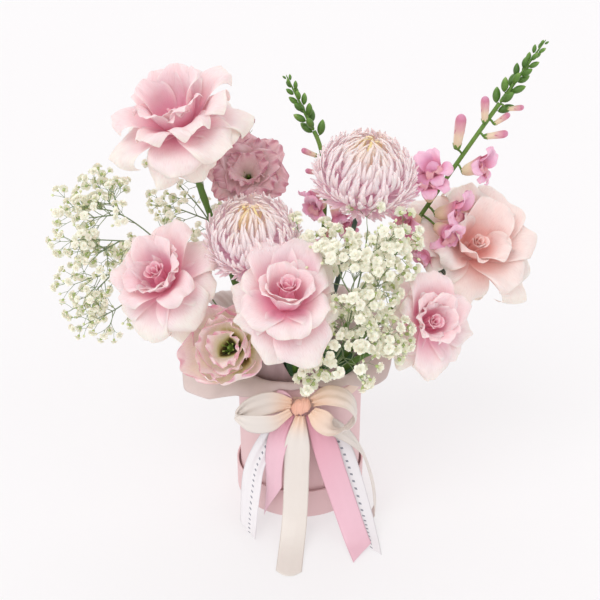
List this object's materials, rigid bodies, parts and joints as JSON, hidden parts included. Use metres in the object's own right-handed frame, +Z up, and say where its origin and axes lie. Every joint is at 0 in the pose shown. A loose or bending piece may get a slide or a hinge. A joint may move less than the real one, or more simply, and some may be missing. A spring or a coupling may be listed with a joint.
{
  "type": "flower box",
  "caption": "Round pale-pink hat box standing in its lid, with paper collar, satin ribbon bow, roses, chrysanthemums, lisianthus, snapdragons and baby's breath.",
  "frame": {"origin": "centre of the outer face of the upturned lid, which stands on the table", "axes": "+Z up along the box, -Y towards the front, where the bow is, +X to the right seen from the front"},
  "size_m": [0.5354, 0.2889, 0.5413],
  "materials": {
    "box_paper": "matte",
    "collar_paper": "satin",
    "liner_film": "gloss",
    "foam": "matte",
    "satin_cream": "satin",
    "satin_pink": "satin",
    "satin_white": "satin",
    "petal_rose": "matte",
    "petal_blush": "matte",
    "petal_mum": "matte",
    "petal_mauve": "matte",
    "petal_cream": "matte",
    "petal_snap": "matte",
    "petal_gyp": "matte",
    "green_stem": "satin",
    "green_dark": "satin",
    "green_fresh": "satin"
  },
  "bodies": {
    "lid": {"lid_disc": "box_paper", "lid_rim": "box_paper"},
    "box": {"bow_knot": "satin_cream", "bow_loop_left": "satin_cream", "bow_loop_right": "satin_cream", "box_base_disc": "box_paper", "box_liner": "liner_film", "box_tube": "box_paper", "foam_block": "foam", "paper_back_left": "collar_paper", "paper_back_right": "collar_paper", "paper_front_left": "collar_paper", "paper_front_right": "collar_paper", "ribbon_band": "satin_cream", "ribbon_pink_stub": "satin_pink", "tail_cream_front": "satin_cream", "tail_cream_side": "satin_cream", "tail_pink_left": "satin_pink", "tail_pink_right": "satin_pink", "tail_white_left": "satin_white", "tail_white_right": "satin_white"},
    "gypsophila_1": {"gypsophila_1": "petal_gyp"},
    "gypsophila_2": {"gypsophila_2": "petal_gyp"},
    "gypsophila_3": {"gypsophila_3": "petal_gyp"},
    "gypsophila_4": {"gypsophila_4": "petal_gyp"},
    "lisianthus_1": {"lisianthus_1_bloom": "petal_mauve", "lisianthus_1_stem": "green_stem"},
    "lisianthus_2": {"lisianthus_2_bloom": "petal_cream", "lisianthus_2_stem": "green_stem"},
    "lisianthus_3": {"lisianthus_3_bloom": "petal_mauve", "lisianthus_3_stem": "green_stem"},
    "mum_1": {"mum_1_bloom": "petal_mum", "mum_1_stem": "green_dark"},
    "mum_2": {"mum_2_bloom": "petal_mum", "mum_2_stem": "green_dark"},
    "rose_1": {"rose_1_bloom": "petal_rose", "rose_1_calyx": "green_stem", "rose_1_stem": "green_stem"},
    "rose_2": {"rose_2_bloom": "petal_rose", "rose_2_calyx": "green_stem", "rose_2_stem": "green_stem"},
    "rose_3": {"rose_3_bloom": "petal_rose", "rose_3_calyx": "green_stem", "rose_3_leaf": "green_dark", "rose_3_stem": "green_stem"},
    "rose_4": {"rose_4_bloom": "petal_rose", "rose_4_calyx": "green_stem", "rose_4_stem": "green_stem"},
    "rose_5": {"rose_5_bloom": "petal_blush", "rose_5_calyx": "green_stem", "rose_5_leaf": "green_dark", "rose_5_stem": "green_stem"},
    "snapdragon_1": {"snapdragon_1_bud_spike": "green_fresh", "snapdragon_1_floret_1": "petal_snap", "snapdragon_1_floret_2": "petal_snap", "snapdragon_1_stem": "green_fresh"},
    "snapdragon_2": {"snapdragon_2_bud_spike": "green_fresh", "snapdragon_2_floret_1": "petal_snap", "snapdragon_2_floret_2": "petal_snap", "snapdragon_2_stem": "green_fresh"}
  },
  "joints": [
    {"name": "box_lift", "type": "slide", "parent": "lid", "child": "box", "axis": [0, 0, 1], "range_m": [0, 0.034]},
    {"name": "gypsophila_1_draw", "type": "slide", "parent": "box", "child": "gypsophila_1", "axis": [-0.5524, 0, 0.8336], "range_m": [0, 0.024]},
    {"name": "gypsophila_2_draw", "type": "slide", "parent": "box", "child": "gypsophila_2", "axis": [-0.2496, 0, 0.9684], "range_m": [0, 0.024]},
    {"name": "gypsophila_3_draw", "type": "slide", "parent": "box", "child": "gypsophila_3", "axis": [0, -0.1498, 0.9887], "range_m": [0, 0.024]},
    {"name": "gypsophila_4_draw", "type": "slide", "parent": "box", "child": "gypsophila_4", "axis": [0.2516, -0.4528, 0.8554], "range_m": [0, 0.024]},
    {"name": "lisianthus_1_draw", "type": "slide", "parent": "box", "child": "lisianthus_1", "axis": [-0.1202, 0.0501, 0.9915], "range_m": [0, 0.024]},
    {"name": "lisianthus_2_draw", "type": "slide", "parent": "box", "child": "lisianthus_2", "axis": [-0.3523, -0.302, 0.8858], "range_m": [0, 0.024]},
    {"name": "lisianthus_3_draw", "type": "slide", "parent": "box", "child": "lisianthus_3", "axis": [-0.08, 0.1801, 0.9804], "range_m": [0, 0.024]},
    {"name": "mum_1_draw", "type": "slide", "parent": "box", "child": "mum_1", "axis": [-0.1199, -0.3995, 0.9089], "range_m": [0, 0.024]},
    {"name": "mum_2_draw", "type": "slide", "parent": "box", "child": "mum_2", "axis": [0.2, 0, 0.9798], "range_m": [0, 0.024]},
    {"name": "rose_1_draw", "type": "slide", "parent": "box", "child": "rose_1", "axis": [-0.3813, 0.0502, 0.9231], "range_m": [0, 0.024]},
    {"name": "rose_2_draw", "type": "slide", "parent": "box", "child": "rose_2", "axis": [-0.4441, -0.1184, 0.8881], "range_m": [0, 0.024]},
    {"name": "rose_3_draw", "type": "slide", "parent": "box", "child": "rose_3", "axis": [-0.0298, -0.447, 0.894], "range_m": [0, 0.024]},
    {"name": "rose_4_draw", "type": "slide", "parent": "box", "child": "rose_4", "axis": [0.6171, -0.2488, 0.7465], "range_m": [0, 0.024]},
    {"name": "rose_5_draw", "type": "slide", "parent": "box", "child": "rose_5", "axis": [0.5869, 0.0202, 0.8094], "range_m": [0, 0.024]},
    {"name": "snapdragon_1_draw", "type": "slide", "parent": "box", "child": "snapdragon_1", "axis": [0.5025, 0.0201, 0.8643], "range_m": [0, 0.024]},
    {"name": "snapdragon_2_draw", "type": "slide", "parent": "box", "child": "snapdragon_2", "axis": [0.16, 0.12, 0.9798], "range_m": [0, 0.024]}
  ]
}
